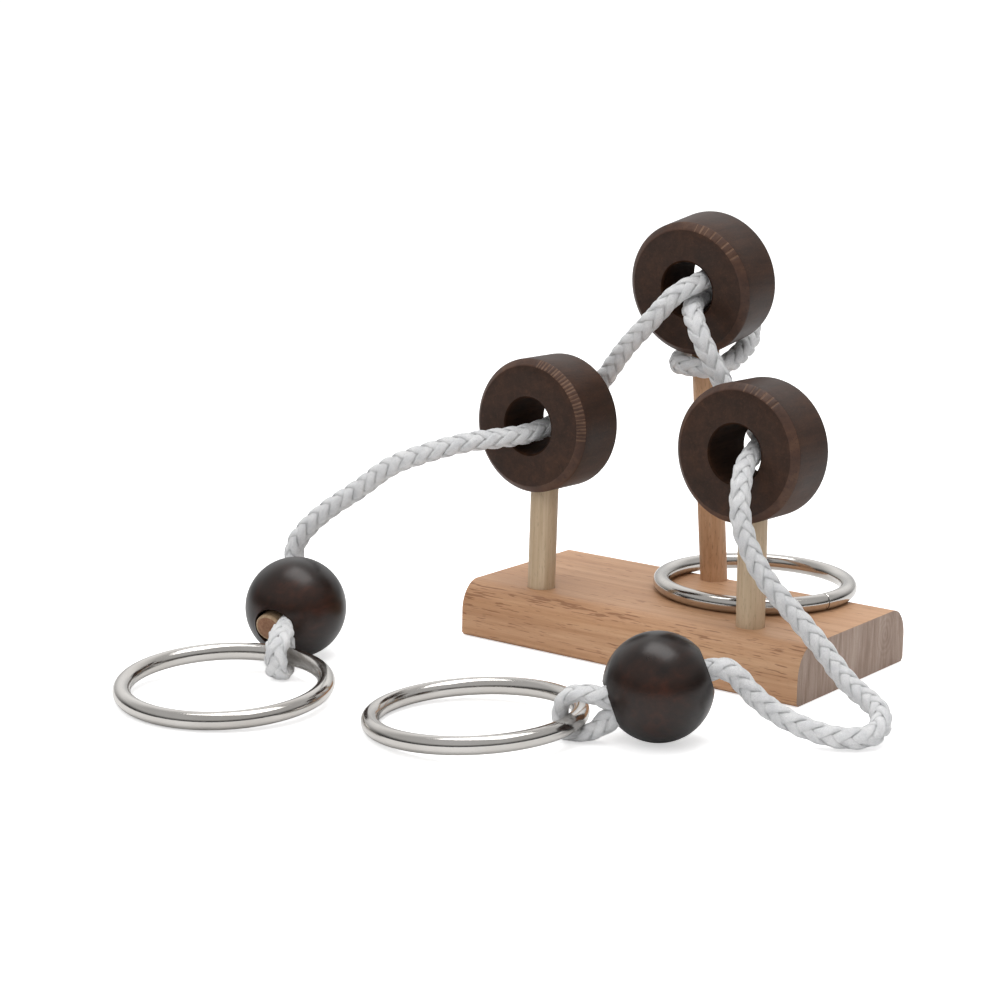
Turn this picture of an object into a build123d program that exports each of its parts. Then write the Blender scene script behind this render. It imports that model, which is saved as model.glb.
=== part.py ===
from build123d import *
import os
from math import sin, cos, tan, radians, degrees, sqrt, pi, asin

os.makedirs("parts", exist_ok=True)

# ---------------------------------------------------------------------------
# Ring and string disentanglement puzzle.
# Frame: origin at the centre of the base's underside, +X along the base to the
# right, +Y to the back, +Z up.  Millimetres.
# ---------------------------------------------------------------------------

# base block
BASE_L = 113.0
BASE_W = 60.0
BASE_H = 16.0
BASE_RY = 7.0            # rounding of the two long top edges, across the width
BASE_RZ = 8.6            # and down the side
BASE_BOTTOM_EASE = 0.9
BASE_END_EASE = 0.5

# posts: dowels glued in blind holes
POST_D = 8.0
POST_IN_BASE = 10.0      # depth of the blind hole in the base
POST_IN_DISC = 7.0       # depth of the blind hole in a disc's rim
GLUE = 0.05              # radial gap of a glued dowel

# discs: turned rings of wood, hole along the depth of the base
DISC_D = 38.5
DISC_T = 18.5
DISC_HOLE_D = 16.0
DISC_CHAMFER = 1.7
DISC_HOLE_EASE = 0.5

# butted steel rings
RING_IN_D = 49.4
RING_WIRE = 4.8
RING_RC = (RING_IN_D + RING_WIRE) / 2
RING_LIFT = 3.5          # how far the loop of cord under it lifts an end ring

# end balls and the dowel plugs that jam the cord in them
BALL_D = 28.5
BALL_HOLE_D = 11.5
BALL_HOLE_EASE = 0.5
PLUG_D = 7.9
PLUG_OFF = 1.75          # the plug sits against one side of the hole

# cord
CORD_D = 6.0             # braided cord
LOOP_D = 3.0             # the same cord where it is squeezed flat round a ring
JOINT_GAP = 0.35         # room between a swinging stretch and the fixed one

# posts: foot on the top of the base, and lean (dx/dz, dy/dz)
POST_FL = ((-35.65, -19.5), (0.007, 0.015))
POST_FR = ((33.8, -17.3), (-0.019, 0.006))
POST_RR = ((-2.2, 21.45), (-0.0145, -0.1085))

# discs: centre, turn about Z and tilt of the front face, degrees
DISC_FL = ((-35.3, -18.7, 64.5), -1.3, 0.9)
DISC_FR = ((32.2, -17.2, 65.0), -0.1, 1.3)
DISC_RR = ((-3.4, 11.75, 104.8), 2.4, -7.6)

# balls: centre and direction of the hole, from the ring's side to the cord's side
BALL_L_C = (-78.7, -78.2, BALL_D / 2)
BALL_L_A = (-0.215, 0.943, 0.253)
BALL_R_C = (43.4, -77.8, BALL_D / 2)
BALL_R_A = (0.708, 0.620, 0.338)

# rings: centre in plan; an end ring leans up towards its loop
RING_L_C = (-64.9, -122.3)
RING_L_LOOP = (-5.6, 26.41)
RING_R_C = (2.45, -100.4)
RING_R_LOOP = (0.934, 0.358)
RING_FREE_C = (14.3, 17.1)

# the cord's route, ball to ball
ROUTE = [
    ("L0", -78.70, -78.20, 14.25), ("L1", -81.07, -67.83, 17.03), ("L2", -82.50, -60.22, 16.21),
    ("L3", -88.92, -56.26, 14.25), ("L3b", -96.30, -56.81, 16.72), ("L3c", -98.92, -57.26, 24.05),
    ("L4", -95.19, -55.21, 30.76), ("L5", -88.70, -52.11, 37.31), ("L6", -79.47, -49.22, 43.74),
    ("L7", -69.59, -48.07, 51.84), ("L8", -58.38, -45.57, 56.54), ("L9", -48.72, -40.76, 60.12),
    ("L10", -41.73, -34.25, 61.18), ("L11", -37.61, -26.21, 61.63), ("L12", -35.40, -17.31, 63.21),
    ("L13", -33.25, -9.49, 65.73), ("A1", -29.78, -5.02, 70.47), ("A2", -24.54, -4.62, 78.05),
    ("A3", -17.12, -6.26, 87.08), ("A4", -8.19, -6.71, 95.83), ("A5", -2.21, -4.54, 103.53),
    ("A6", 0.96, 2.63, 106.10), ("A7", -0.21, 12.81, 107.50), ("A8", -4.09, 22.37, 108.24),
    ("b1", -8.56, 28.65, 104.27), ("b2", -12.21, 30.33, 96.41), ("b3", -14.09, 27.04, 88.09),
    ("b4", -13.67, 19.66, 82.43), ("b5", -11.07, 11.26, 80.72), ("b6", -5.80, 6.56, 81.42),
    ("b7", 0.68, 7.00, 80.92), ("b8", 4.71, 11.99, 81.62), ("b9", 4.30, 21.30, 84.41),
    ("b10", 3.07, 29.13, 87.66), ("b11", 0.61, 32.08, 94.19), ("b12", -2.00, 29.30, 100.32),
    ("B0", -3.27, 21.61, 102.05), ("B1", -3.30, 10.64, 100.60), ("B2", -0.58, 1.41, 99.15),
    ("B3", 3.80, -4.12, 96.96), ("B4", 7.67, -5.86, 91.45), ("B5", 11.52, -4.75, 84.19),
    ("B6", 15.28, -2.98, 76.83), ("B7", 19.78, -1.78, 71.20), ("B8", 24.68, -2.75, 67.85),
    ("R0", 29.18, -6.90, 66.43), ("R1", 32.66, -13.84, 65.90), ("R2", 35.12, -21.84, 64.96),
    ("R3", 36.96, -29.22, 63.09), ("R4", 39.08, -34.01, 58.51), ("R5", 40.51, -36.72, 51.72),
    ("R6", 43.71, -36.91, 43.05), ("R7", 49.10, -35.42, 34.12), ("R8", 56.93, -33.13, 26.10),
    ("R9", 65.31, -32.30, 18.02), ("R10", 73.06, -33.56, 11.02), ("R11", 80.54, -35.52, 8.24),
    ("R12", 86.47, -39.10, 6.81), ("R13", 89.46, -44.58, 4.46), ("R14", 88.66, -50.21, 3.10),
    ("R15", 82.22, -55.51, 3.12), ("R16", 71.78, -59.44, 5.98), ("R17", 62.59, -62.13, 11.27),
    ("R18", 56.41, -65.23, 19.56), ("R19", 51.19, -70.98, 17.97), ("R20", 43.40, -77.80, 14.25),
]

# loops round the end rings, in each ring's own plane of section:
# (outwards from the wire, along the wire, height above the table)
LOOP_L = [(11.77, -0.70, 14.45), (5.97, -0.60, 12.93), (2.1, 1.0, 12.5), (-2.1, 2.9, 11.9), (-6.1, 3.9, 9.9),
          (-7.1, 4.1, 5.7), (-5.4, 3.7, 1.8), (-0.6, 2.4, 1.56), (3.1, 0.9, 2.05), (5.3, -0.4, 5.3),
          (6.4, -0.65, 9.4), (12.81, -0.70, 10.55)]
LOOP_R = [(13.62, -0.63, 13.91), (8.32, 1.32, 12.05), (4.4, 1.6, 13.3), (-0.6, 1.6, 13.4), (-4.1, 1.0, 11.2),
          (-5.2, 0.5, 7.1), (-4.4, 0.2, 2.3), (-0.8, 0.1, 1.56), (3.6, 0.1, 2.0), (7.2, 0.4, 4.2),
          (9.5, 0.82, 7.6), (15.0, -1.14, 9.8)]
# ---------------------------------------------------------------------------


def V(p):
    return Vector(*p)


def unit(p):
    return Vector(*p).normalized()


def save(shape, name):
    shape.label = name
    export_step(shape, "parts/%s.step" % name)
    print("%-20s volume %10.2f  valid %s  solids %d" % (name, shape.volume, shape.is_valid, len(shape.solids())))


def ball_frame(axis):
    """Two directions square to a ball's hole: sideways in plan, and up."""
    a = unit(axis)
    side = a.cross(Vector(0, 0, 1)).normalized()
    up = side.cross(a).normalized()
    return a, side, up


# ---------------------------------------------------------------- the base
def make_base():
    w, h = BASE_W / 2, BASE_H
    pts = 40
    with BuildSketch(Plane.YZ) as sk:
        with BuildLine():
            Line((-w + BASE_BOTTOM_EASE, 0), (w - BASE_BOTTOM_EASE, 0))
            Line((w - BASE_BOTTOM_EASE, 0), (w, BASE_BOTTOM_EASE))
            Line((w, BASE_BOTTOM_EASE), (w, h - BASE_RZ))
            EllipticalCenterArc((w - BASE_RY, h - BASE_RZ), BASE_RY, BASE_RZ, start_angle=0, arc_size=90)
            Line((w - BASE_RY, h), (-w + BASE_RY, h))
            EllipticalCenterArc((-w + BASE_RY, h - BASE_RZ), BASE_RY, BASE_RZ, start_angle=90, arc_size=90)
            Line((-w, h - BASE_RZ), (-w, BASE_BOTTOM_EASE))
            Line((-w, BASE_BOTTOM_EASE), (-w + BASE_BOTTOM_EASE, 0))
        make_face()
    body = extrude(sk.sketch, amount=BASE_L / 2, both=True)
    for foot, lean in (POST_FL, POST_FR, POST_RR):
        body -= dowel(foot, lean, BASE_H - POST_IN_BASE - 0.2, BASE_H + 6, POST_D / 2 + GLUE)
    return body


def post_dir(lean):
    return Vector(lean[0], lean[1], 1).normalized()


def dowel(foot, lean, z0, z1, r):
    d = post_dir(lean)
    p = Vector(foot[0], foot[1], BASE_H) + d * ((z0 - BASE_H) / d.Z)
    return Plane(origin=p, z_dir=d) * Cylinder(r, (z1 - z0) / d.Z, align=(Align.CENTER, Align.CENTER, Align.MIN))


def post_top(disc):
    return disc[0][2] - DISC_D / 2 + POST_IN_DISC


# ---------------------------------------------------------------- the discs
def disc_axis(disc):
    a, e = radians(disc[1]), radians(disc[2])
    return Vector(sin(a) * cos(e), -cos(a) * cos(e), sin(e))


def make_disc(disc, post):
    r, t, c, h, q = DISC_D / 2, DISC_T / 2, DISC_CHAMFER, DISC_HOLE_D / 2, DISC_HOLE_EASE
    with BuildSketch(Plane.XZ) as sk:
        with BuildLine():
            Polyline((h + q, -t), (r - c, -t), (r, -t + c), (r, t - c), (r - c, t), (h + q, t),
                     (h, t - q), (h, -t + q), close=True)
        make_face()
    body = revolve(sk.sketch, Axis.Z)
    body = Plane(origin=V(disc[0]), z_dir=disc_axis(disc)) * body
    body -= dowel(post[0], post[1], disc[0][2] - DISC_D / 2 - 4, post_top(disc) + 0.2, POST_D / 2 + GLUE)
    return body


# ---------------------------------------------------------------- the rings
def ring_frame(centre, toward):
    """Centre, normal, foot of the loop on the wire, outward and tangent directions."""
    d = Vector(toward[0], toward[1], 0).normalized()
    s = RING_LIFT / (2 * RING_RC)
    k = sqrt(1 - s * s)
    c = Vector(centre[0], centre[1], RING_WIRE / 2 + RING_LIFT / 2)
    e = Vector(d.X * k, d.Y * k, s)
    n = Vector(-d.X * s, -d.Y * s, k)
    return c, n, c + e * RING_RC, d, Vector(d.Y, -d.X, 0)


def make_ring(c, n):
    return Plane(origin=c, z_dir=n) * Torus(RING_RC, RING_WIRE / 2)


# ---------------------------------------------------------------- balls and plugs
def make_ball(centre, axis):
    a = unit(axis)
    body = Plane(origin=V(centre), z_dir=a) * Sphere(BALL_D / 2)
    r = BALL_HOLE_D / 2
    body -= Plane(origin=V(centre), z_dir=a) * Cylinder(r, BALL_D + 4)
    m = sqrt((BALL_D / 2) ** 2 - r * r)
    q = BALL_HOLE_EASE
    for s in (1, -1):
        cone = Cone(r - 0.01, r + 2 * q, 2 * q + 0.02)
        body -= Plane(origin=V(centre) + a * (s * (m - q * 0.6)), z_dir=a * s) * cone
    return body


def make_plug(centre, axis, toward):
    a = unit(axis)
    m = sqrt((BALL_D / 2) ** 2 - (BALL_HOLE_D / 2) ** 2)
    o = V(centre) + toward * PLUG_OFF
    plug = Plane(origin=o - a * (m + 0.3), z_dir=a) * Cylinder(PLUG_D / 2, m + 0.2, align=(Align.CENTER, Align.CENTER, Align.MIN))
    edge = plug.faces().sort_by(lambda f: (f.center() - o).dot(a))[0].edges()
    return chamfer(edge, 0.4)


# ---------------------------------------------------------------- the cord
def tube(name, pts, d, cap_start=False, cap_end=False):
    """A tube along straight runs joined by tangent arcs."""
    n = len(pts)
    radii = []
    for i in range(1, n - 1):
        u, v = pts[i] - pts[i - 1], pts[i + 1] - pts[i]
        turn = u.get_angle(v)
        radii.append(0.45 * min(u.length, v.length) / tan(radians(turn / 2)))
    print(name, "radii", " ".join("%.1f" % r for r in radii))
    path = FilletPolyline(*pts, radius=radii)
    start = Plane(origin=pts[0], z_dir=(pts[1] - pts[0]))
    body = sweep(start * Circle(d / 2), path=path, transition=Transition.RIGHT)
    want = pi * d * d / 4 * path.length
    print("   %s length %.1f  volume %.1f  section x length %.1f" % (name, path.length, body.volume, want))
    for flag, p in ((cap_start, pts[0]), (cap_end, pts[-1])):
        if flag:
            body = body + Pos(p) * Sphere(d / 2)
    return body, path.length


R = {n: Vector(x, y, z) for n, x, y, z in ROUTE}
ORDER = [r[0] for r in ROUTE]


def stretch(a, b):
    return [R[n] for n in ORDER[ORDER.index(a):ORDER.index(b) + 1]]


def between(a, b, t=0.5):
    return R[a] + (R[b] - R[a]) * t


# swinging stretches start at a round end, a hinge's breadth from the fixed one
PIVOT_L = R["L10"]
PIVOT_R = R["R3"]


def short_of(p, toward, gap):
    return p + (toward - p).normalized() * gap


def loop_points(ring, rows):
    c, n, q, d, t = ring
    return [Vector(q.X, q.Y, 0) + d * s + t * w + Vector(0, 0, z) for s, w, z in rows]


def main():
    save(make_base(), "base_block")
    for name, post, disc in (("front_left", POST_FL, DISC_FL), ("front_right", POST_FR, DISC_FR), ("rear", POST_RR, DISC_RR)):
        save(dowel(post[0], post[1], BASE_H - POST_IN_BASE, post_top(disc), POST_D / 2), "post_" + name)
        save(make_disc(disc, post), "disc_" + name)

    ring_l = ring_frame(RING_L_C, RING_L_LOOP)
    ring_r = ring_frame(RING_R_C, RING_R_LOOP)
    save(make_ring(ring_l[0], ring_l[1]), "end_ring_left")
    save(make_ring(ring_r[0], ring_r[1]), "end_ring_right")
    save(make_ring(Vector(RING_FREE_C[0], RING_FREE_C[1], BASE_H + RING_WIRE / 2 + 0.02), Vector(0, 0, 1)), "free_ring")

    for side, c, a, sgn in (("left", BALL_L_C, BALL_L_A, -1), ("right", BALL_R_C, BALL_R_A, -1)):
        ax, sd, up = ball_frame(a)
        save(make_ball(c, a), "ball_" + side)
        save(make_plug(c, a, sd * sgn), "ball_plug_" + side)

    total = 0
    for name, pts, kw in (
        ("cord_tail_left", stretch("L0", "L10"), dict(cap_end=True)),
        ("cord_bridge_left", [short_of(PIVOT_L, R["L11"], CORD_D / 2 + JOINT_GAP)] + stretch("L11", "A6") + [between("A6", "A7")], {}),
        ("cord_bight_rear", [between("A6", "A7")] + stretch("A7", "B0") + [between("B0", "B1")], {}),
        ("cord_bridge_right", [between("B0", "B1")] + stretch("B1", "R2") + [short_of(PIVOT_R, R["R2"], CORD_D / 2 + JOINT_GAP)], {}),
        ("cord_tail_right", stretch("R3", "R20"), dict(cap_start=True)),
    ):
        body, ln = tube(name, pts, CORD_D, **kw)
        total += ln
        save(body, name)
    for name, ring, rows in (("cord_loop_left", ring_l, LOOP_L), ("cord_loop_right", ring_r, LOOP_R)):
        body, ln = tube(name, loop_points(ring, rows), LOOP_D)
        total += ln
        save(body, name)
    print("cord in all %.0f mm" % total)
    print("pivots", PIVOT_L, PIVOT_R)
    for nm, rg in (("left", ring_l), ("right", ring_r)):
        print("ring", nm, "centre", rg[0], "normal", rg[1], "loop foot", rg[2], "out", rg[3], "tangent", rg[4])


main()
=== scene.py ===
import bpy  # noqa: E402
import bmesh  # noqa: E402
import math  # noqa: E402
import numpy as np  # noqa: E402
from mathutils import Matrix, Vector  # noqa: E402


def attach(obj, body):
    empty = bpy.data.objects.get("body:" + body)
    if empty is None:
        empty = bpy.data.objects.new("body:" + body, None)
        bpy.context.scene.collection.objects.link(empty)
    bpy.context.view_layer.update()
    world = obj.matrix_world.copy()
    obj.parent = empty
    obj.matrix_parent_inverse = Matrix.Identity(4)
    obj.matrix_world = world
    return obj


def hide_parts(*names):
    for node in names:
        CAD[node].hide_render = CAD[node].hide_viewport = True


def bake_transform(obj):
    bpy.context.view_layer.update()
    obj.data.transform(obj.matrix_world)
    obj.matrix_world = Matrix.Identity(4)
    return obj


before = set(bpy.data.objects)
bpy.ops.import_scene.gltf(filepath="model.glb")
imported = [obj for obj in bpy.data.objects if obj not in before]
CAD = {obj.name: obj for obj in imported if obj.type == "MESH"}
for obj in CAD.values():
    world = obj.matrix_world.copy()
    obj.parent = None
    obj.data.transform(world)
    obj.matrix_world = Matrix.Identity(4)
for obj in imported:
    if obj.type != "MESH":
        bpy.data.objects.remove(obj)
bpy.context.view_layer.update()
MM = 0.001
rng = np.random.default_rng(7)
scene = bpy.context.scene

# =====================================================================  camera
cam_data = bpy.data.cameras.new("camera")
cam = bpy.data.objects.new("camera", cam_data)
scene.collection.objects.link(cam)
cam_data.sensor_fit = "HORIZONTAL"
cam_data.sensor_width = 36.0
cam_data.lens = 87.13
cam_data.clip_start, cam_data.clip_end = 0.01, 20.0
right = Vector((0.7990, 0.6011, 0.0165)).normalized()
fwd = Vector((-0.5848, 0.7830, -0.2118)).normalized()
up = right.cross(fwd).normalized()
right = fwd.cross(up).normalized()
cam.matrix_world = Matrix((
    (right.x, up.x, -fwd.x, 0.36323),
    (right.y, up.y, -fwd.y, -0.57437),
    (right.z, up.z, -fwd.z, 0.18965),
    (0, 0, 0, 1)))
scene.camera = cam
scene.view_settings.view_transform = "Standard"


# ===================================================================  helpers
def V(x, y, z):
    return np.array((x, y, z), float)


def unit(v):
    v = np.asarray(v, float)
    return v / np.linalg.norm(v)


def new_mesh(name, verts, faces, uvs=None, mats=None, face_mats=None, smooth=True):
    """A mesh object from lists; uvs is one (u, v) per vertex."""
    me = bpy.data.meshes.new(name)
    me.from_pydata([tuple(v) for v in verts], [], faces)
    me.update()
    if uvs is not None:
        uv = me.uv_layers.new(name="UVMap")
        idx = np.zeros(len(me.loops), np.int32)
        me.loops.foreach_get("vertex_index", idx)
        uv.data.foreach_set("uv", np.asarray(uvs, np.float32)[idx].ravel())
    for m in mats or []:
        me.materials.append(m)
    if face_mats is not None:
        me.polygons.foreach_set("material_index", np.asarray(face_mats, np.int32))
    if smooth:
        me.polygons.foreach_set("use_smooth", np.ones(len(me.polygons), bool))
    me.validate()
    ob = bpy.data.objects.new(name, me)
    scene.collection.objects.link(ob)
    return ob


def sharpen(ob, degrees):
    bpy.context.view_layer.objects.active = ob
    for o in bpy.context.selected_objects:
        o.select_set(False)
    ob.select_set(True)
    ob.data.set_sharp_from_angle(angle=math.radians(degrees))
    ob.select_set(False)
    return ob


def frame_of(axis, hint=(0, 0, 1)):
    """Two directions square to an axis: sideways and up."""
    a = unit(axis)
    s = unit(np.cross(a, hint))
    return a, s, np.cross(s, a)


# ==================================================================  the cord
ROUTE = [
    ("L0", -78.70, -78.20, 14.25), ("L1", -81.07, -67.83, 17.03), ("L2", -82.50, -60.22, 16.21),
    ("L3", -88.92, -56.26, 14.25), ("L3b", -96.30, -56.81, 16.72), ("L3c", -98.92, -57.26, 24.05),
    ("L4", -95.19, -55.21, 30.76), ("L5", -88.70, -52.11, 37.31), ("L6", -79.47, -49.22, 43.74),
    ("L7", -69.59, -48.07, 51.84), ("L8", -58.38, -45.57, 56.54), ("L9", -48.72, -40.76, 60.12),
    ("L10", -41.73, -34.25, 61.18), ("L11", -37.61, -26.21, 61.63), ("L12", -35.40, -17.31, 63.21),
    ("L13", -33.25, -9.49, 65.73), ("A1", -29.78, -5.02, 70.47), ("A2", -24.54, -4.62, 78.05),
    ("A3", -17.12, -6.26, 87.08), ("A4", -8.19, -6.71, 95.83), ("A5", -2.21, -4.54, 103.53),
    ("A6", 0.96, 2.63, 106.10), ("A7", -0.21, 12.81, 107.50), ("A8", -4.09, 22.37, 108.24),
    ("b1", -8.56, 28.65, 104.27), ("b2", -12.21, 30.33, 96.41), ("b3", -14.09, 27.04, 88.09),
    ("b4", -13.67, 19.66, 82.43), ("b5", -11.07, 11.26, 80.72), ("b6", -5.80, 6.56, 81.42),
    ("b7", 0.68, 7.00, 80.92), ("b8", 4.71, 11.99, 81.62), ("b9", 4.30, 21.30, 84.41),
    ("b10", 3.07, 29.13, 87.66), ("b11", 0.61, 32.08, 94.19), ("b12", -2.00, 29.30, 100.32),
    ("B0", -3.27, 21.61, 102.05), ("B1", -3.30, 10.64, 100.60), ("B2", -0.58, 1.41, 99.15),
    ("B3", 3.80, -4.12, 96.96), ("B4", 7.67, -5.86, 91.45), ("B5", 11.52, -4.75, 84.19),
    ("B6", 15.28, -2.98, 76.83), ("B7", 19.78, -1.78, 71.20), ("B8", 24.68, -2.75, 67.85),
    ("R0", 29.18, -6.90, 66.43), ("R1", 32.66, -13.84, 65.90), ("R2", 35.12, -21.84, 64.96),
    ("R3", 36.96, -29.22, 63.09), ("R4", 39.08, -34.01, 58.51), ("R5", 40.51, -36.72, 51.72),
    ("R6", 43.71, -36.91, 43.05), ("R7", 49.10, -35.42, 34.12), ("R8", 56.93, -33.13, 26.10),
    ("R9", 65.31, -32.30, 18.02), ("R10", 73.06, -33.56, 11.02), ("R11", 80.54, -35.52, 8.24),
    ("R12", 86.47, -39.10, 6.81), ("R13", 89.46, -44.58, 4.46), ("R14", 88.66, -50.21, 3.10),
    ("R15", 82.22, -55.51, 3.12), ("R16", 71.78, -59.44, 5.98), ("R17", 62.59, -62.13, 11.27),
    ("R18", 56.41, -65.23, 19.56), ("R19", 51.19, -70.98, 17.97), ("R20", 43.40, -77.80, 14.25),
]
AT = {n: V(x, y, z) for n, x, y, z in ROUTE}

BALL_D, BALL_HOLE_D = 28.5, 11.5
BALL_L_C, BALL_L_A = V(-78.7, -78.2, 14.25), V(-0.215, 0.943, 0.253)
BALL_R_C, BALL_R_A = V(43.4, -77.8, 14.25), V(0.708, 0.620, 0.338)
RING_RC, WIRE_R = 27.1, 2.4
RING_L_C, RING_L_LOOP = (-64.9, -122.3), (-5.6, 26.41)
RING_R_C, RING_R_LOOP = (2.45, -100.4), (0.934, 0.358)
RING_FREE_C = (14.3, 17.1)
LOOP_L = [(11.77, -0.70, 14.45), (5.97, -0.60, 12.93), (2.1, 1.0, 12.5), (-2.1, 2.9, 11.9), (-6.1, 3.9, 9.9),
          (-7.1, 4.1, 5.7), (-5.4, 3.7, 1.8), (-0.6, 2.4, 1.56), (3.1, 0.9, 2.05), (5.3, -0.4, 5.3),
          (6.4, -0.65, 9.4), (12.81, -0.70, 10.55)]
LOOP_R = [(13.62, -0.63, 13.91), (8.32, 1.32, 12.05), (4.4, 1.6, 13.1), (-0.4, 1.6, 13.2), (-3.6, 1.0, 11.0),
          (-4.6, 0.5, 7.1), (-4.0, 0.2, 2.5), (-0.8, 0.1, 1.6), (3.4, 0.1, 2.4), (6.8, 0.4, 5.0),
          (9.5, 0.82, 8.0), (15.0, -1.14, 9.8)]


def ring_frame(centre, toward, lift=3.5):
    d = unit((toward[0], toward[1], 0))
    s = lift / (2 * RING_RC)
    k = math.sqrt(1 - s * s)
    c = V(centre[0], centre[1], WIRE_R + lift / 2)
    e = V(d[0] * k, d[1] * k, s)
    n = V(-d[0] * s, -d[1] * s, k)
    return c, n, c + e * RING_RC, d, V(d[1], -d[0], 0)


RING_L, RING_R = ring_frame(RING_L_C, RING_L_LOOP), ring_frame(RING_R_C, RING_R_LOOP)


def nurbs_line(name, pts):
    """The smooth line of a NURBS spline over control points given in mm, as points in mm."""
    cu = bpy.data.curves.new(name, "CURVE")
    cu.dimensions = "3D"
    sp = cu.splines.new("NURBS")
    sp.points.add(len(pts) - 1)
    for p, q in zip(sp.points, pts):
        p.co = (q[0] * MM, q[1] * MM, q[2] * MM, 1.0)
    sp.order_u = 3
    sp.use_endpoint_u = True
    sp.resolution_u = 24
    cu.resolution_u = 24
    ob = bpy.data.objects.new(name, cu)
    scene.collection.objects.link(ob)
    bpy.context.view_layer.update()
    dg = bpy.context.evaluated_depsgraph_get()
    me = bpy.data.meshes.new_from_object(ob.evaluated_get(dg))
    co = np.zeros(len(me.vertices) * 3)
    me.vertices.foreach_get("co", co)
    co = co.reshape(-1, 3) / MM
    bpy.data.objects.remove(ob)
    bpy.data.curves.remove(cu)
    bpy.data.meshes.remove(me)
    if np.linalg.norm(co[0] - pts[0]) > np.linalg.norm(co[-1] - pts[0]):
        co = co[::-1]
    return co


def arc(line):
    return np.concatenate([[0], np.cumsum(np.linalg.norm(np.diff(line, axis=0), axis=1))])


def evenly(line, step):
    """The same line read at even steps of length."""
    s = arc(line)
    n = max(2, int(round(s[-1] / step)))
    q = np.linspace(0, s[-1], n + 1)
    return np.stack([np.interp(q, s, line[:, k]) for k in range(3)], 1), q


def tangents(line):
    t = np.gradient(line, axis=0)
    for _ in range(2):
        t[1:-1] = (t[:-2] + 2 * t[1:-1] + t[2:]) / 4
    return t / np.linalg.norm(t, axis=1)[:, None]


def carried(line, t, first):
    """A direction square to the line, carried along it without twist."""
    n = np.zeros_like(line)
    v = first - t[0] * (first @ t[0])
    n[0] = v / np.linalg.norm(v)
    for i in range(1, len(line)):
        v = n[i - 1] - t[i] * (n[i - 1] @ t[i])
        n[i] = v / np.linalg.norm(v)
    return n


LAY = 19.0          # length of one turn of a strand
STRANDS = 4         # strands each way round
R_MID, R_WAVE = 2.00, 0.27
SHAPE_W, SHAPE_T = 1.34, 0.62    # half width and half thickness of a strand


def braid(name, line, s, t, n, keep, squeeze_n=None, squeeze_b=None, mats=None, fix=None, size=1.0):
    """An eight strand braid round a line. squeeze_n and squeeze_b flatten it across and along b."""
    b = np.cross(t, n)
    kn = np.ones(len(line)) if squeeze_n is None else squeeze_n
    kb = np.ones(len(line)) if squeeze_b is None else squeeze_b
    lo, hi = keep
    ring = 12
    verts, faces, uvs = [], [], []

    sel = np.arange(lo, hi)
    for way in (1, -1):
        for j in range(STRANDS):
            th = way * (2 * math.pi * s / LAY) + 2 * math.pi * j / STRANDS
            # over two, under two
            wave = way * math.sqrt(2) * np.cos(4 * math.pi * s / LAY + way * (math.pi * j - math.pi / 4))
            r = (R_MID + R_WAVE * wave) * size
            radial = n * (np.cos(th) * kn)[:, None] + b * (np.sin(th) * kb)[:, None]
            centre = line + radial * r[:, None]
            tt = tangents(centre)
            out = n * (np.cos(th) / np.maximum(kn, 0.2))[:, None] + b * (np.sin(th) / np.maximum(kb, 0.2))[:, None]
            out -= tt * (out * tt).sum(1)[:, None]
            out /= np.linalg.norm(out, axis=1)[:, None]
            across = np.cross(out, tt)
            arcs = arc(centre)
            # a flattened cord's strands are thinner across its thickness
            thin = np.sqrt((n * out).sum(1) ** 2 * kn ** 2 + (b * out).sum(1) ** 2 * kb ** 2)
            base = len(verts)
            for i in sel:
                ht = SHAPE_T * size * (0.55 + 0.45 * thin[i])
                for k in range(ring):
                    f = 2 * math.pi * k / ring
                    c, d = math.cos(f), math.sin(f)
                    c = math.copysign(abs(c) ** 0.85, c)
                    verts.append(centre[i] + across[i] * (SHAPE_W * size * c) + out[i] * (ht * d))
                    uvs.append((arcs[i] * 0.1, k / ring))
            m = len(sel)
            for i in range(m - 1):
                for k in range(ring):
                    k2 = (k + 1) % ring
                    faces.append((base + i * ring + k, base + (i + 1) * ring + k, base + (i + 1) * ring + k2, base + i * ring + k2))
            faces.append(tuple(base + k for k in range(ring)))
            faces.append(tuple(base + (m - 1) * ring + k for k in range(ring))[::-1])
    # the core, which fills the middle
    base, cr = len(verts), 1.6 * size
    for i in sel:
        for k in range(10):
            f = 2 * math.pi * k / 10
            verts.append(line[i] + n[i] * (cr * kn[i] * math.cos(f)) + b[i] * (cr * kb[i] * math.sin(f)))
            uvs.append((s[i] * 0.1, k / 10))
    m = len(sel)
    for i in range(m - 1):
        for k in range(10):
            k2 = (k + 1) % 10
            faces.append((base + i * 10 + k, base + i * 10 + k2, base + (i + 1) * 10 + k2, base + (i + 1) * 10 + k))
    faces.append(tuple(base + k for k in range(10))[::-1])
    faces.append(tuple(base + (m - 1) * 10 + k for k in range(10)))
    verts = np.array(verts)
    if fix is not None:
        verts = fix(verts)
    verts[:, 2] = np.maximum(verts[:, 2], 0.05)
    return new_mesh(name, verts * MM, faces, uvs=uvs, mats=mats)


# ==============================================================  node helpers
def material(name):
    m = bpy.data.materials.new(name)
    m.use_nodes = True
    nt = m.node_tree
    nt.nodes.clear()
    out = nt.nodes.new("ShaderNodeOutputMaterial")
    bsdf = nt.nodes.new("ShaderNodeBsdfPrincipled")
    nt.links.new(bsdf.outputs[0], out.inputs[0])
    return m, nt, bsdf


def srgb(r, g, b):
    def f(c):
        c /= 255
        return c / 12.92 if c <= 0.04045 else ((c + 0.055) / 1.055) ** 2.4
    return (f(r), f(g), f(b), 1.0)


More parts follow.
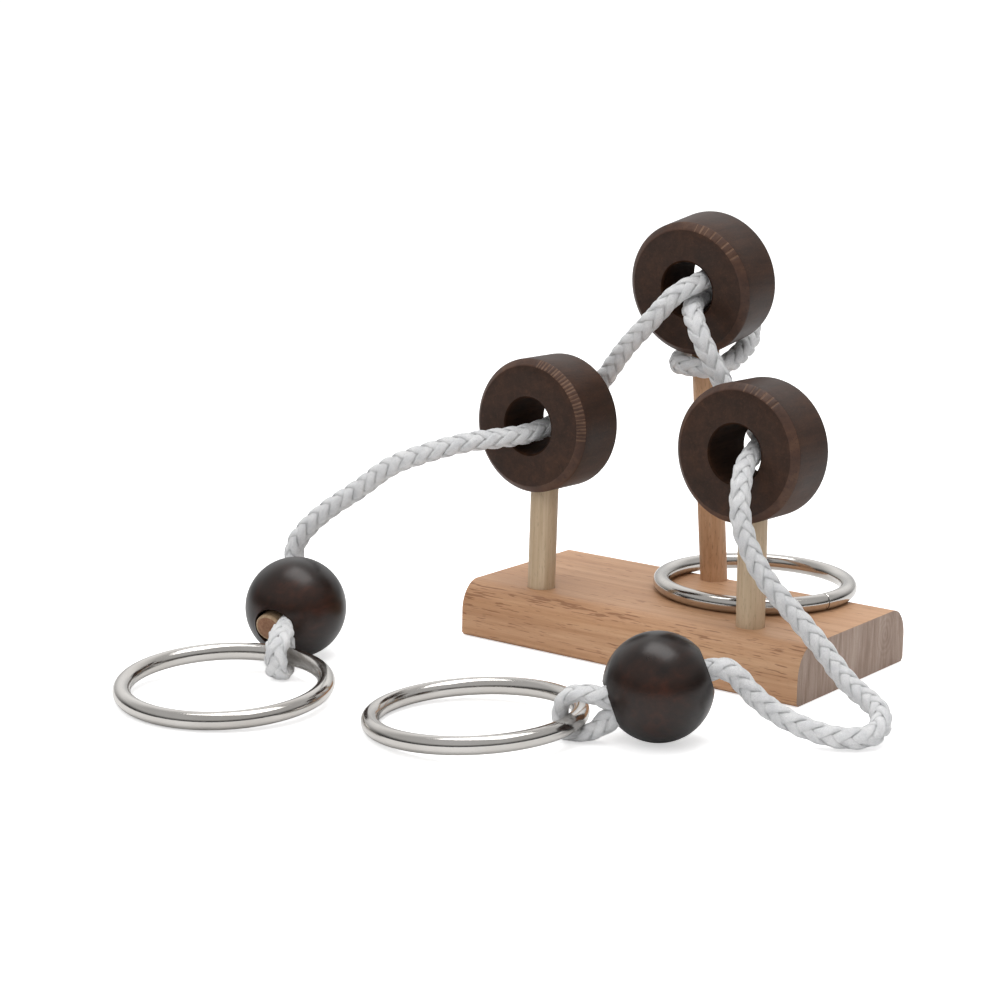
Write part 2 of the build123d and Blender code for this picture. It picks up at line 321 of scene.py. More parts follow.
class Nodes:
    """Short names for making node networks."""

    def __init__(self, nt):
        self.nt = nt

    def new(self, kind, **values):
        n = self.nt.nodes.new("ShaderNode" + kind)
        for k, v in values.items():
            setattr(n, k, v)
        return n

    def link(self, a, b):
        self.nt.links.new(a, b)

    def coord(self, which="Object"):
        return self.new("TexCoord").outputs[which]

    def mapping(self, vec, scale=(1, 1, 1), rot=(0, 0, 0), loc=(0, 0, 0)):
        n = self.new("Mapping")
        self.link(vec, n.inputs["Vector"])
        n.inputs["Scale"].default_value = scale
        n.inputs["Rotation"].default_value = rot
        n.inputs["Location"].default_value = loc
        return n.outputs[0]

    def noise(self, vec, scale, detail=4.0, rough=0.55, dist=0.0):
        n = self.new("TexNoise")
        self.link(vec, n.inputs["Vector"])
        n.inputs["Scale"].default_value = scale
        n.inputs["Detail"].default_value = detail
        n.inputs["Roughness"].default_value = rough
        n.inputs["Distortion"].default_value = dist
        return n.outputs["Fac"]

    def ramp(self, fac, stops, interp="LINEAR"):
        n = self.new("ValToRGB")
        n.color_ramp.interpolation = interp
        while len(n.color_ramp.elements) < len(stops):
            n.color_ramp.elements.new(0.5)
        for e, (p, c) in zip(n.color_ramp.elements, stops):
            e.position = p
            e.color = c if len(c) == 4 else (*c, 1)
        self.link(fac, n.inputs["Fac"])
        return n.outputs["Color"]

    def maprange(self, v, a, b, c, d, clamp=True, smooth=False):
        n = self.new("MapRange")
        n.clamp = clamp
        if smooth:
            n.interpolation_type = "SMOOTHSTEP"
        self.link(v, n.inputs["Value"])
        for k, x in zip(("From Min", "From Max", "To Min", "To Max"), (a, b, c, d)):
            n.inputs[k].default_value = x
        return n.outputs[0]

    def math(self, op, a, b=None, c=None):
        n = self.new("Math", operation=op)
        for i, x in enumerate((a, b, c)):
            if x is None:
                continue
            if isinstance(x, (int, float)):
                n.inputs[i].default_value = x
            else:
                self.link(x, n.inputs[i])
        return n.outputs[0]

    def mix(self, fac, a, b, blend="MIX"):
        n = self.new("Mix", data_type="RGBA", blend_type=blend)
        for i, x in ((0, fac), (6, a), (7, b)):
            if isinstance(x, (int, float)):
                n.inputs[i].default_value = x
            elif isinstance(x, tuple):
                n.inputs[i].default_value = x
            else:
                self.link(x, n.inputs[i])
        return n.outputs[2]

    def bump(self, height, strength, distance):
        n = self.new("Bump")
        n.inputs["Strength"].default_value = strength
        n.inputs["Distance"].default_value = distance
        self.link(height, n.inputs["Height"])
        return n.outputs[0]


# ==================================================================  materials
def cord_material():
    m, nt, b = material("cord_white")
    N = Nodes(nt)
    uv = N.coord("UV")
    obj = N.coord("Object")
    # yarns that run along each strand, and slow soiling; the yarn lines are real texture, while their near-white
    # streaks are painted highlight (the fibres' glints) and their blue-grey streaks painted shade
    fib = N.noise(N.mapping(uv, (2.2, 9.0, 1.0)), 9.0, 4.0, 0.62, 0.3)
    fib2 = N.noise(N.mapping(uv, (1.6, 30.0, 1.0)), 9.0, 3.0, 0.6, 0.2)
    soil = N.noise(obj, 260.0, 3.0, 0.6)
    both = N.math("ADD", N.math("MULTIPLY", fib, 0.55), N.math("MULTIPLY", fib2, 0.45))
    col = N.ramp(both, [(0.34, srgb(186, 187, 190)), (0.46, srgb(236, 236, 236)), (0.58, srgb(252, 252, 252))])
    col = N.mix(N.maprange(soil, 0.40, 0.70, 0.0, 0.45), col, srgb(206, 208, 212))
    N.link(col, b.inputs["Base Color"])
    N.link(N.maprange(fib2, 0.3, 0.7, 0.36, 0.60), b.inputs["Roughness"])
    b.inputs["Sheen Weight"].default_value = 0.15
    b.inputs["Sheen Roughness"].default_value = 0.4
    b.inputs["Subsurface Weight"].default_value = 0.15
    b.inputs["Subsurface Radius"].default_value = (0.6, 0.6, 0.6)
    b.inputs["Subsurface Scale"].default_value = 0.0008
    h = N.math("ADD", N.math("MULTIPLY", fib, 0.7), N.math("MULTIPLY", fib2, 0.5))
    N.link(N.bump(h, 0.85, 0.00040), b.inputs["Normal"])
    return m


MAT_CORD = cord_material()

# ------------------------------------------------------------------ cord pieces
line = nurbs_line("cord_line", [AT[n] for n, *_ in ROUTE])
line, s_all = evenly(line, 0.5)
t_all = tangents(line)
n_all = carried(line, t_all, V(0, 0, 1))


def nearest(p):
    return int(np.argmin(np.linalg.norm(line - p, axis=1)))


i_l = nearest(AT["L12"])
i_r = nearest(AT["R1"])
last = len(line)


def cord_piece(name, lo, hi):
    return braid(name, line, s_all, t_all, n_all, (lo, hi), mats=[MAT_CORD])


def push_off(circle_c, circle_n, r_min):
    """Moves points out of a ring's wire."""
    c, n = np.asarray(circle_c), unit(circle_n)

    def fix(v):
        d = v - c
        h = d @ n
        flat = d - np.outer(h, n)
        rad = np.linalg.norm(flat, axis=1)[:, None]
        foot = c + flat / rad * RING_RC
        off = v - foot
        dist = np.linalg.norm(off, axis=1)
        near = dist < r_min
        v = v.copy()
        v[near] = foot[near] + off[near] / dist[near][:, None] * r_min
        return v
    return fix


cord_left = cord_piece("cord_left", 0, i_l + 1)
cord_middle = cord_piece("cord_middle", i_l, i_r + 1)
cord_right = cord_piece("cord_right", i_r, last)
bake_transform(cord_left)
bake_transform(cord_right)
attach(cord_middle, "root")


def loop_piece(name, ring, rows, wide, limits, mouth, grip=(0.08, 0.26, 0.80, 0.95)):
    c, n_ring, q, d, tw = ring
    pts = [V(q[0], q[1], 0) + d * a + tw * w + V(0, 0, z) for a, w, z in rows]
    ln, s = evenly(nurbs_line(name + "_line", pts), 0.4)
    t = tangents(ln)
    b = np.tile(tw, (len(ln), 1))
    b = b - t * (b * t).sum(1)[:, None]
    b /= np.linalg.norm(b, axis=1)[:, None]
    n = np.cross(b, t)
    u = s / s[-1]
    def ease(x, a, c):
        x = np.clip((x - a) / (c - a), 0, 1)
        return x * x * (3 - 2 * x)
    flat = ease(u, grip[0], grip[1]) * (1 - ease(u, grip[2], grip[3]))
    kb = 0.56 + flat * (wide - 0.56)                 # along the wire
    off = ln - c
    h = off @ n_ring
    inplane = off - np.outer(h, n_ring)
    room = np.hypot(np.linalg.norm(inplane, axis=1) - RING_RC, h) - WIRE_R
    top, turn, under = limits
    most = top + (turn - top) * ease(u, 0.25, 0.42) + (under - turn) * ease(u, 0.55, 0.72)
    kn = np.clip((room + 0.15) / 2.9, 0.45, most)    # through the thickness
    kn = mouth + flat * (kn - mouth)
    for _ in range(6):
        kn[1:-1] = (kn[:-2] + 2 * kn[1:-1] + kn[2:]) / 4
    ob = braid(name, ln, s, t, n, (0, len(ln)), squeeze_n=kn, squeeze_b=kb, mats=[MAT_CORD],
               fix=push_off(c, n_ring, WIRE_R + 0.06), size=0.97)
    return ob, ln


loop_left, loop_left_line = loop_piece("loop_left", RING_L, LOOP_L, 1.22, (0.60, 0.60, 0.56), 0.70)
loop_right, loop_right_line = loop_piece("loop_right", RING_R, LOOP_R, 1.20, (0.78, 0.72, 0.88), 1.15, (0.10, 0.26, 0.72, 0.86))
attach(loop_left, "left_tail")
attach(loop_right, "right_tail")

for ob, nodes in ((cord_left, ["cord_tail_left"]), (cord_middle, ["cord_bridge_left", "cord_bight_rear", "cord_bridge_right"]),
                  (cord_right, ["cord_tail_right"]), (loop_left, ["cord_loop_left"]), (loop_right, ["cord_loop_right"])):
    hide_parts(*nodes)


# ====================================================================  woods
def wood_material(name, light, mid, dark, along, speckle):
    """Fine, even wood in the object's own frame, with its grain along x or z; returns the pieces for more work."""
    m, nt, b = material(name)
    N = Nodes(nt)
    obj = N.coord("Object")

    def sc(g, a):
        return (g, a, a) if along == "x" else (a, a, g)
    streak = N.noise(N.mapping(obj, sc(38, 1100)), 1.0, 5.0, 0.65)
    lines = N.noise(N.mapping(obj, sc(11, 330)), 1.0, 4.0, 0.6, 0.15)
    broad = N.noise(N.mapping(obj, sc(7, 60)), 1.0, 3.0, 0.5, 0.3)
    mixv = N.math("ADD", N.math("MULTIPLY", streak, 0.40), N.math("ADD", N.math("MULTIPLY", lines, 0.32), N.math("MULTIPLY", broad, 0.28)))
    col = N.ramp(mixv, [(0.37, srgb(*dark)), (0.50, srgb(*mid)), (0.63, srgb(*light))])
    # pores: very short dark points along the grain
    pore = N.noise(N.mapping(obj, sc(420, 3000)), 1.0, 2.0, 0.5)
    pm = N.maprange(pore, 0.60, 0.68, 0.0, speckle)
    col = N.mix(pm, col, srgb(*[c * 0.66 for c in dark]))
    N.link(N.maprange(streak, 0.3, 0.7, 0.46, 0.60), b.inputs["Roughness"])
    b.inputs["Specular IOR Level"].default_value = 0.42
    h = N.math("ADD", N.math("MULTIPLY", streak, 0.6), N.math("MULTIPLY", pm, -0.6))
    return m, N, b, obj, col, h


def block_material():
    m, N, b, obj, col, h = wood_material("beech_block", (208, 167, 132), (192, 148, 112), (175, 129, 93), "x", 0.18)
    xyz = N.new("SeparateXYZ")
    N.link(obj, xyz.inputs[0])
    nrm = N.new("SeparateXYZ")
    N.link(N.coord("Normal"), nrm.inputs[0])
    # medullary flecks: short dark dashes on the long sides, a denser band along the front arris
    fl = N.noise(N.mapping(obj, (170, 1300, 2300)), 1.0, 1.5, 0.5)
    where = N.noise(N.mapping(obj, (28, 160, 260)), 1.0, 2.0, 0.5)
    side = N.maprange(N.math("ABSOLUTE", nrm.outputs[1]), 0.25, 0.75, 0.0, 1.0)
    band = N.math("MULTIPLY", N.maprange(xyz.outputs[2], 0.0120, 0.0142, 0.0, 1.0), N.maprange(xyz.outputs[1], -0.0235, -0.0262, 0.0, 1.0))
    fv = N.math("ADD", fl, N.math("MULTIPLY", N.math("SUBTRACT", where, 0.5), 0.30))
    fv = N.math("ADD", fv, N.math("ADD", N.math("MULTIPLY", side, 0.055), N.math("MULTIPLY", band, 0.050)))
    flm = N.maprange(fv, 0.672, 0.722, 0.0, 0.72)
    col = N.mix(flm, col, srgb(136, 92, 64))
    # end grain: greyer, with near upright lines and one whorl towards the back
    up_lines = N.noise(N.mapping(obj, (60, 1000, 90), (math.radians(7), 0, 0)), 1.0, 4.0, 0.6, 0.2)
    up_broad = N.noise(N.mapping(obj, (30, 260, 40), (math.radians(7), 0, 0)), 1.0, 2.0, 0.5, 0.3)
    dy = N.math("SUBTRACT", xyz.outputs[1], 0.0185)
    dz = N.math("MULTIPLY", N.math("SUBTRACT", xyz.outputs[2], 0.0100), 0.75)
    rad = N.math("SQRT", N.math("ADD", N.math("MULTIPLY", dy, dy), N.math("MULTIPLY", dz, dz)))
    rad = N.math("ADD", rad, N.math("MULTIPLY", up_broad, 0.0022))
    whorl = N.math("SINE", N.math("MULTIPLY", rad, 4300.0))
    wmask = N.maprange(rad, 0.0072, 0.0050, 0.0, 0.045)
    endv = N.math("ADD", N.math("ADD", N.math("MULTIPLY", up_lines, 0.62), N.math("MULTIPLY", up_broad, 0.38)), N.math("MULTIPLY", whorl, wmask))
    endc = N.ramp(endv, [(0.34, srgb(134, 110, 95)), (0.50, srgb(160, 137, 122)), (0.66, srgb(176, 155, 141))])
    grit = N.noise(N.mapping(obj, (2600, 2600, 2600)), 1.0, 2.0, 0.6)
    endc = N.mix(N.maprange(grit, 0.58, 0.70, 0.0, 0.35), endc, srgb(118, 96, 80))
    ends = N.maprange(N.math("ABSOLUTE", nrm.outputs[0]), 0.55, 0.80, 0.0, 1.0)
    col = N.mix(ends, col, endc)
    N.link(col, b.inputs["Base Color"])
    h = N.math("ADD", h, N.math("MULTIPLY", flm, -0.9))
    N.link(N.bump(h, 0.28, 0.0002), b.inputs["Normal"])
    return m


def dowel_material(name, light, mid, dark, speckle):
    m, N, b, obj, col, h = wood_material(name, light, mid, dark, "z", speckle)
    N.link(col, b.inputs["Base Color"])
    N.link(N.bump(h, 0.25, 0.0002), b.inputs["Normal"])
    return m


MAT_BASE = block_material()
MAT_PALE = dowel_material("dowel_pale", (218, 197, 168), (201, 178, 148), (184, 158, 127), 0.25)
MAT_DOWEL = dowel_material("dowel_beech", (214, 174, 139), (198, 156, 120), (181, 136, 100), 0.40)


def stained(name, base, deep, worn, rough, axis_vec, coat=0.35, bump=0.2, level=0.4, speckle=0.0, painted_rim_shade=0.0):
    m, nt, b = material(name)
    N = Nodes(nt)
    obj = N.coord("Object")
    grain = N.noise(N.mapping(obj, (380, 60, 380)), 1.0, 5.0, 0.6, 0.2)
    blotch = N.noise(N.mapping(obj, (70, 70, 70)), 1.0, 3.0, 0.5)
    pores = N.noise(N.mapping(obj, (2200, 300, 2200)), 1.0, 2.0, 0.5)
    col = N.ramp(N.math("ADD", N.math("MULTIPLY", grain, 0.55), N.math("MULTIPLY", blotch, 0.45)),
                 [(0.35, srgb(*deep)), (0.52, srgb(*base)), (0.70, srgb(*worn))])
    col = N.mix(N.maprange(pores, 0.62, 0.72, 0.0, 0.5), col, srgb(*[c * 0.55 for c in deep]))
    N.link(col, b.inputs["Base Color"])
    N.link(N.maprange(blotch, 0.3, 0.7, rough[0], rough[1]), b.inputs["Roughness"])
    # painted shade: the colour darkens towards the outline as seen from the camera, leaving the middle lighter
    if painted_rim_shade:
        lw = N.new("LayerWeight")
        lw.inputs["Blend"].default_value = 0.45
        col = N.mix(N.maprange(lw.outputs["Facing"], 0.10, 0.62, 0.0, painted_rim_shade), col, srgb(*[c * 0.62 for c in deep]))
        N.link(col, b.inputs["Base Color"])
    if speckle:
        fine = N.noise(N.mapping(obj, (1500, 1500, 1500)), 1.0, 3.0, 0.7)
        col = N.mix(N.maprange(fine, 0.52, 0.68, 0.0, speckle), col, srgb(*[min(255, c * 1.7) for c in worn]))
        N.link(col, b.inputs["Base Color"])
    b.inputs["Specular IOR Level"].default_value = level
    b.inputs["Coat Weight"].default_value = coat
    b.inputs["Coat Roughness"].default_value = 0.3
    h = N.math("ADD", N.math("MULTIPLY", grain, 0.6), N.math("MULTIPLY", pores, -0.4))
    N.link(N.bump(h, bump, 0.00015), b.inputs["Normal"])
    return m


MAT_DISC = stained("walnut_stain_disc", (55, 36, 26), (42, 27, 18), (70, 46, 32), (0.45, 0.58), None, coat=0.0, level=0.26, speckle=0.12)
MAT_CHAMFER = stained("disc_chamfer", (74, 50, 38), (56, 37, 28), (92, 66, 50), (0.45, 0.58), None, coat=0.0, level=0.35)
MAT_WORN = stained("chatter_marks", (104, 78, 61), (82, 60, 46), (122, 94, 75), (0.5, 0.62), None, coat=0.0, level=0.35)
# the bore is rougher and duller as unpolished wood, and its darker colour is painted shade inside the hole
MAT_BORE = stained("disc_bore", (44, 27, 17), (30, 19, 13), (64, 40, 24), (0.75, 0.90), None, coat=0.0, level=0.08)
# the balls carry painted shade that darkens them towards their outline as seen from the camera
MAT_BALL = stained("walnut_stain_ball", (41, 23, 15), (24, 14, 10), (66, 33, 20), (0.27, 0.36), None, coat=0.0, level=0.40, painted_rim_shade=0.95)


def steel_material():
    m, nt, b = material("nickel_steel")
    N = Nodes(nt)
    obj = N.coord("Object")
    fine = N.noise(N.mapping(obj, (900, 900, 900)), 1.0, 4.0, 0.6)
    slow = N.noise(N.mapping(obj, (60, 60, 60)), 1.0, 3.0, 0.5)
    col = N.ramp(slow, [(0.3, srgb(190, 186, 181)), (0.7, srgb(206, 203, 199))])
    N.link(col, b.inputs["Base Color"])
    b.inputs["Metallic"].default_value = 1.0
    N.link(N.maprange(fine, 0.3, 0.75, 0.10, 0.20), b.inputs["Roughness"])
    N.link(N.bump(slow, 0.15, 0.0002), b.inputs["Normal"])
    return m


MAT_STEEL = steel_material()


def seam_material():
    m, nt, b = material("seam_dark")
    N = Nodes(nt)
    n = N.noise(N.mapping(N.coord("Object"), (2500, 2500, 2500)), 1.0, 3.0, 0.6)
    N.link(N.ramp(n, [(0.3, srgb(38, 34, 30)), (0.7, srgb(84, 78, 72))]), b.inputs["Base Color"])
    b.inputs["Metallic"].default_value = 0.7
    b.inputs["Roughness"].default_value = 0.6
    return m


MAT_SEAM = seam_material()


# ================================================================  turned parts
def lathe(name, profile, centre, axis, segs, mats, face_mat=None, wave=None, closed=True, hint=(0, 0, 1)):
    """Turns a profile of (radius, along) about an axis through centre. wave moves a point: f(r, z, angle, index) -> (r, z)."""
    a, s, u = frame_of(axis, hint)
    m = len(profile)
    verts, faces, fm = [], [], []
    for i in range(segs):
        th = 2 * math.pi * i / segs
        e = s * math.cos(th) + u * math.sin(th)
        for j, (r, z) in enumerate(profile):
            if wave:
                r, z = wave(r, z, th, j)
            verts.append(centre + e * r + a * z)
    for i in range(segs):
        i2 = (i + 1) % segs
        for j in range(m if closed else m - 1):
            j2 = (j + 1) % m
            faces.append((i * m + j, i2 * m + j, i2 * m + j2, i * m + j2))
            fm.append(face_mat(j, i) if face_mat else 0)
    ob = new_mesh(name, np.array(verts) * MM, faces, mats=mats, face_mats=fm)
    bm = bmesh.new()
    bm.from_mesh(ob.data)
    bmesh.ops.recalc_face_normals(bm, faces=bm.faces)
    bm.to_mesh(ob.data)
    bm.free()
    return ob


def arc_pts(cx, cz, r, a0, a1, n):
    return [(cx + r * math.cos(math.radians(a0 + (a1 - a0) * k / n)), cz + r * math.sin(math.radians(a0 + (a1 - a0) * k / n))) for k in range(n + 1)]


DISC_D, DISC_T, DISC_HOLE_D, DISC_CHAMFER = 38.5, 18.5, 16.0, 1.7
DISCS = {
    "front_left": (V(-35.3, -18.7, 64.5), -1.3, 0.9),
    "front_right": (V(32.2, -17.2, 65.0), -0.1, 1.3),
    "rear": (V(-3.4, 11.75, 104.8), 2.4, -7.6),
}


def make_disc(which, seed, chatter):
    c, yaw, pitch = DISCS[which]
    a, e = math.radians(yaw), math.radians(pitch)
    axis = V(math.sin(a) * math.cos(e), -math.cos(a) * math.cos(e), math.sin(e))
    R, H, T, ch = DISC_D / 2, DISC_HOLE_D / 2, DISC_T / 2, DISC_CHAMFER
    q = 0.25
    prof = []
    # outside, front to back (front is +axis), softened arrises
    prof += [(H + 0.55, T), (H + 1.2, T), (R - ch - 3, T), (R - ch - q * 1.2, T), (R - ch - q * 0.35, T - q * 0.22), (R - ch + q * 0.45, T - q * 0.85),
             (R - ch * 0.5, T - ch * 0.55), (R - q * 0.6, T - ch + q * 0.3), (R - q * 0.08, T - ch - q * 0.5), (R, T - ch - q * 1.6)]
    prof += [(R, T * 0.45), (R, 0.0), (R, -T * 0.45)]
    prof += [(r, -z) for r, z in prof[9::-1]]
    # the hole
    prof += [(H + 0.2, -T + 0.12), (H + 0.03, -T + 0.4), (H, -T + 1.0), (H, -T / 2), (H, 0), (H, T / 2), (H, T - 1.0), (H + 0.03, T - 0.4), (H + 0.2, T - 0.12)]
    g = np.random.default_rng(seed)
    ph = g.uniform(0, 2 * math.pi, 8)
    notches = []
    for first, final, step in chatter:
        at = math.radians(first)
        while at < math.radians(final):
            notches.append((at, g.uniform(0.45, 1.0)))
            at += math.radians(step) * g.uniform(0.75, 1.3)

    def wave(r, z, th, j):
        # a turned part is never quite true: slow wander, and chatter marks on the front chamfer
        r2 = r + 0.02 * math.sin(2 * th + ph[0]) * (r / R) + 0.008 * math.sin(7 * th + ph[1])
        z2 = z
        if 3 <= j <= 8 and chatter:
            d = 0.0
            for at, depth in notches:
                w = abs((th - at + math.pi) % (2 * math.pi) - math.pi)
                if w < 0.022:
                    d += depth * (1 - w / 0.022)
            k = {3: 0.15, 4: 0.45, 5: 0.8, 6: 1.0, 7: 0.8, 8: 0.35}[j]
            r2 -= 0.16 * d * k
            z2 -= 0.16 * d * k
        return r2, z2
    segs = 480

    def face(j, i):
        th = 2 * math.pi * (i + 0.5) / segs
        if 3 <= j <= 7:
            for at, depth in notches:
                if abs((th - at + math.pi) % (2 * math.pi) - math.pi) < 0.007 + 0.006 * depth:
                    return 1
            return 2
        return 3 if j >= 23 else 0
    ob = lathe("disc_" + which + "_turned", prof, c, axis, segs, [MAT_DISC, MAT_WORN, MAT_CHAMFER, MAT_BORE], face_mat=face, wave=wave)
    sharpen(ob, 40)
    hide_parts("disc_" + which)
    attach(ob, "root")
    return ob


make_disc("front_left", 3, [(98, 186, 3.4)])
make_disc("front_right", 5, [(96, 128, 5.5)])
make_disc("rear", 9, [(100, 150, 6.0)])


def make_ball(side, c, axis, body):
    R, H = BALL_D / 2, BALL_HOLE_D / 2
    m = math.sqrt(R * R - H * H)
    prof = []
    a0 = math.degrees(math.asin(m / R))
    n = 44
    ang = [a0 - 1.6 - (2 * (a0 - 1.6)) * k / n for k in range(n + 1)]
    prof = [(R * math.cos(math.radians(x)), R * math.sin(math.radians(x))) for x in ang]
    prof = [(H + 0.28, m - 0.10)] + prof + [(H + 0.28, -m + 0.10)]
    prof += [(H + 0.08, -m + 0.35), (H, -m + 0.9), (H, -m / 2), (H, 0), (H, m / 2), (H, m - 0.9), (H + 0.08, m - 0.35)]
    ob = lathe("ball_" + side + "_turned", prof, c, axis, 160, [MAT_BALL])
    sharpen(ob, 50)
    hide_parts("ball_" + side)
    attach(ob, body)
    return ob


ball_left = make_ball("left", BALL_L_C, BALL_L_A, "left_tail")
ball_right = make_ball("right", BALL_R_C, BALL_R_A, "right_tail")


def plug_material():
    m, nt, b = material("plug_end_grain")
    N = Nodes(nt)
    obj = N.coord("Object")
    pores = N.noise(N.mapping(obj, (1500, 1500, 1500)), 1.0, 3.0, 0.6)
    blot = N.noise(N.mapping(obj, (300, 300, 300)), 1.0, 3.0, 0.5)
    col = N.ramp(N.math("ADD", N.math("MULTIPLY", pores, 0.6), N.math("MULTIPLY", blot, 0.4)),
                 [(0.35, srgb(136, 96, 70)), (0.55, srgb(164, 122, 94)), (0.75, srgb(184, 146, 116))])
    N.link(col, b.inputs["Base Color"])
    N.link(N.maprange(pores, 0.3, 0.7, 0.6, 0.8), b.inputs["Roughness"])
    N.link(N.bump(pores, 0.4, 0.0002), b.inputs["Normal"])
    return m


def plug_rim_material():
    m, nt, b = material("plug_bare_rim")
    N = Nodes(nt)
    obj = N.coord("Object")
    n = N.noise(N.mapping(obj, (900, 900, 900)), 1.0, 4.0, 0.6)
    N.link(N.ramp(n, [(0.3, srgb(150, 120, 90)), (0.7, srgb(196, 170, 138))]), b.inputs["Base Color"])
    b.inputs["Roughness"].default_value = 0.7
    N.link(N.bump(n, 0.4, 0.0002), b.inputs["Normal"])
    return m


MAT_PLUG, MAT_PLUG_RIM = plug_material(), plug_rim_material()


def make_plug(side, c, axis, sgn, body):
    a, s, u = frame_of(axis)
    H = BALL_HOLE_D / 2
    m = math.sqrt((BALL_D / 2) ** 2 - H * H)
    r, L = 7.9 / 2, m + 0.2
    o = c + s * (sgn * 1.75)
    prof = [(0.0, 0.0), (1.2, 0.0), (2.4, 0.02), (r - 0.62, 0.03), (r - 0.44, 0.05), (r - 0.16, 0.22), (r - 0.03, 0.45), (r, 0.8), (r, L / 2), (r, L - 0.3), (r - 0.2, L), (0.0, L)]
    ob = lathe("plug_" + side, prof, o - a * (m + 0.3), a, 96, [MAT_PLUG, MAT_PLUG_RIM],
               face_mat=lambda j, i: 0 if j < 3 else 1, closed=False)
    bm = bmesh.new()
    bm.from_mesh(ob.data)
    bmesh.ops.remove_doubles(bm, verts=bm.verts, dist=1e-7)
    bmesh.ops.recalc_face_normals(bm, faces=bm.faces)
    bm.to_mesh(ob.data)
    bm.free()
    sharpen(ob, 50)
    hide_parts("ball_plug_" + side)
    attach(ob, body)
    return ob


plug_left = make_plug("left", BALL_L_C, BALL_L_A, -1, "left_tail")
plug_right = make_plug("right", BALL_R_C, BALL_R_A, -1, "right_tail")


# =====================================================================  rings
def make_wire_ring(name, node, c, normal, start, body, seam=True):
    """A ring of round wire; start is the direction in which its butt joint lies."""
    n = unit(normal)
    e = np.asarray(start, float)
    e = unit(e - n * (e @ n))
    f = np.cross(n, e)
    big, small = 320, 40
    gap = 0.009
    angs = [0.0]
    base = list(np.linspace(gap * 4, 2 * math.pi - gap * 4, big))
    ang = [gap * 0.0, gap * 0.6, gap * 1.3, gap * 2.2] + base + [2 * math.pi - gap * 2.2, 2 * math.pi - gap * 1.3, 2 * math.pi - gap * 0.6]
    verts, faces, fm = [], [], []
    for th in ang:
        w = min(th, 2 * math.pi - th)
        cut = 0.0
        if seam:
            cut = 0.20 * max(0.0, 1 - w / (gap * 1.4)) + 0.05 * max(0.0, 1 - w / 0.05)
        rr = WIRE_R - cut
        o = e * math.cos(th) + f * math.sin(th)
        for k in range(small):
            ph = 2 * math.pi * k / small
            verts.append(c + o * (RING_RC + rr * math.cos(ph)) + n * (rr * math.sin(ph)))
    m = len(ang)
    for i in range(m):
        i2 = (i + 1) % m
        for k in range(small):
            k2 = (k + 1) % small
            faces.append((i * small + k, i2 * small + k, i2 * small + k2, i * small + k2))
            fm.append(1 if seam and (i in (0, m - 1)) else 0)
    ob = new_mesh(name, np.array(verts) * MM, faces, mats=[MAT_STEEL, MAT_SEAM], face_mats=fm)
    bm = bmesh.new()
    bm.from_mesh(ob.data)
    bmesh.ops.recalc_face_normals(bm, faces=bm.faces)
    bm.to_mesh(ob.data)
    bm.free()
    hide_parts(node)
    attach(ob, body)
    return ob


ring_left = make_wire_ring("ring_left_wire", "end_ring_left", RING_L[0], RING_L[1], RING_L[3], "left_ring", seam=False)
ring_right = make_wire_ring("ring_right_wire", "end_ring_right", RING_R[0], RING_R[1], RING_R[3], "right_ring", seam=False)
ring_free = make_wire_ring("ring_loose_wire", "free_ring", V(RING_FREE_C[0], RING_FREE_C[1], 18.42), V(0, 0, 1), V(0.9744, -0.2250, 0), "loose_ring")


# ==============================================================  carried-over CAD
def dress(node, mat):
    o = CAD[node]
    o.data.materials.clear()
    o.data.materials.append(mat)


dress("base_block", MAT_BASE)
dress("post_front_left", MAT_PALE)
dress("post_front_right", MAT_PALE)
dress("post_rear", MAT_DOWEL)

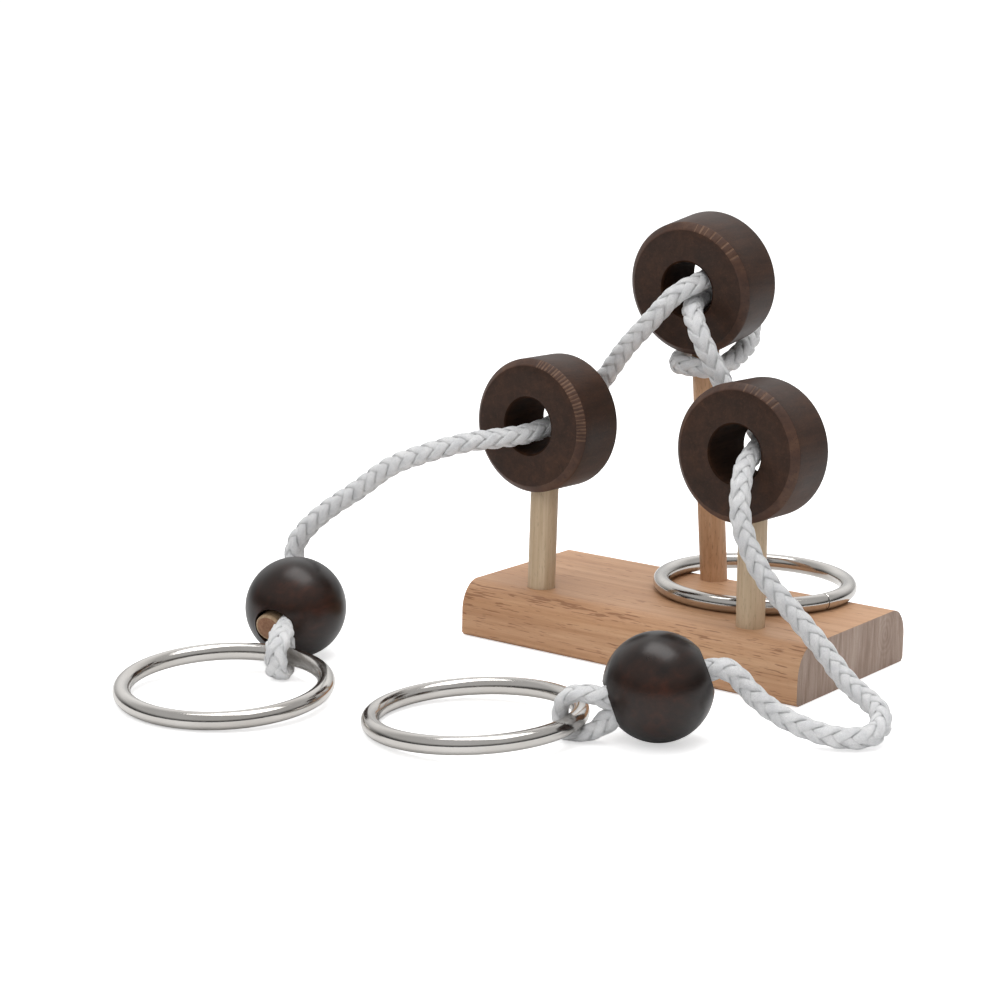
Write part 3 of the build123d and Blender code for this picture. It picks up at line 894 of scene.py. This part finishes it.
# ====================================================================  studio
me = bpy.data.meshes.new("floor")
me.from_pydata([(-6, -6, 0), (6, -6, 0), (6, 6, 0), (-6, 6, 0)], [], [(0, 1, 2, 3)])
floor = bpy.data.objects.new("floor", me)
floor.location.z = -0.0002
scene.collection.objects.link(floor)
fmat, fnt, fb = material("floor_white")
fb.inputs["Base Color"].default_value = (0.90, 0.90, 0.90, 1)
fb.inputs["Roughness"].default_value = 0.9
fb.inputs["Specular IOR Level"].default_value = 0.05
fb.inputs["Emission Color"].default_value = (1, 1, 1, 1)
FN = Nodes(fnt)
FN.link(FN.math("MULTIPLY", FN.new("LightPath").outputs["Is Camera Ray"], 0.55), fb.inputs["Emission Strength"])
me.materials.append(fmat)

# a soft overhead sky that falls off to a dim horizon; seen directly it is plain white
world = bpy.data.worlds.new("studio")
scene.world = world
world.use_nodes = True
wt = world.node_tree
wt.nodes.clear()
W = Nodes(wt)
sky = W.new("Background")
seen = W.new("Background")
seen.inputs[0].default_value = (1, 1, 1, 1)
seen.inputs[1].default_value = 1.05
sep = W.new("SeparateXYZ")
W.link(W.coord("Generated"), sep.inputs[0])
high = W.maprange(sep.outputs[2], 0.10, 0.48, 0.05, 0.74, smooth=True)
ahead = W.new("VectorMath", operation="DOT_PRODUCT")
W.link(W.coord("Generated"), ahead.inputs[0])
ahead.inputs[1].default_value = (-0.598, 0.801, 0.0)
W.link(W.math("ADD", high, W.maprange(ahead.outputs["Value"], 0.25, 0.90, 0.0, 0.75, smooth=True)), sky.inputs[1])
path = W.new("LightPath")
mixer = W.new("MixShader")
W.link(path.outputs["Is Camera Ray"], mixer.inputs[0])
W.link(sky.outputs[0], mixer.inputs[1])
W.link(seen.outputs[0], mixer.inputs[2])
wout = W.new("OutputWorld")
W.link(mixer.outputs[0], wout.inputs[0])


def area(name, at, to, size, power, size_y=None):
    d = bpy.data.lights.new(name, "AREA")
    d.shape = "RECTANGLE"
    d.size, d.size_y = size, size_y or size
    d.energy = power
    o = bpy.data.objects.new(name, d)
    o.location = at
    o.rotation_mode = "QUATERNION"
    o.rotation_quaternion = (Vector(to) - Vector(at)).to_track_quat("-Z", "Y")
    scene.collection.objects.link(o)
    return o


area("top", (0.0, 0.05, 1.15), (0, 0, 0.03), 1.0, 7, 0.6)
front = area("front", (0.15, -0.95, 1.15), (0, 0, 0.03), 1.2, 6.5)
front.visible_glossy = False
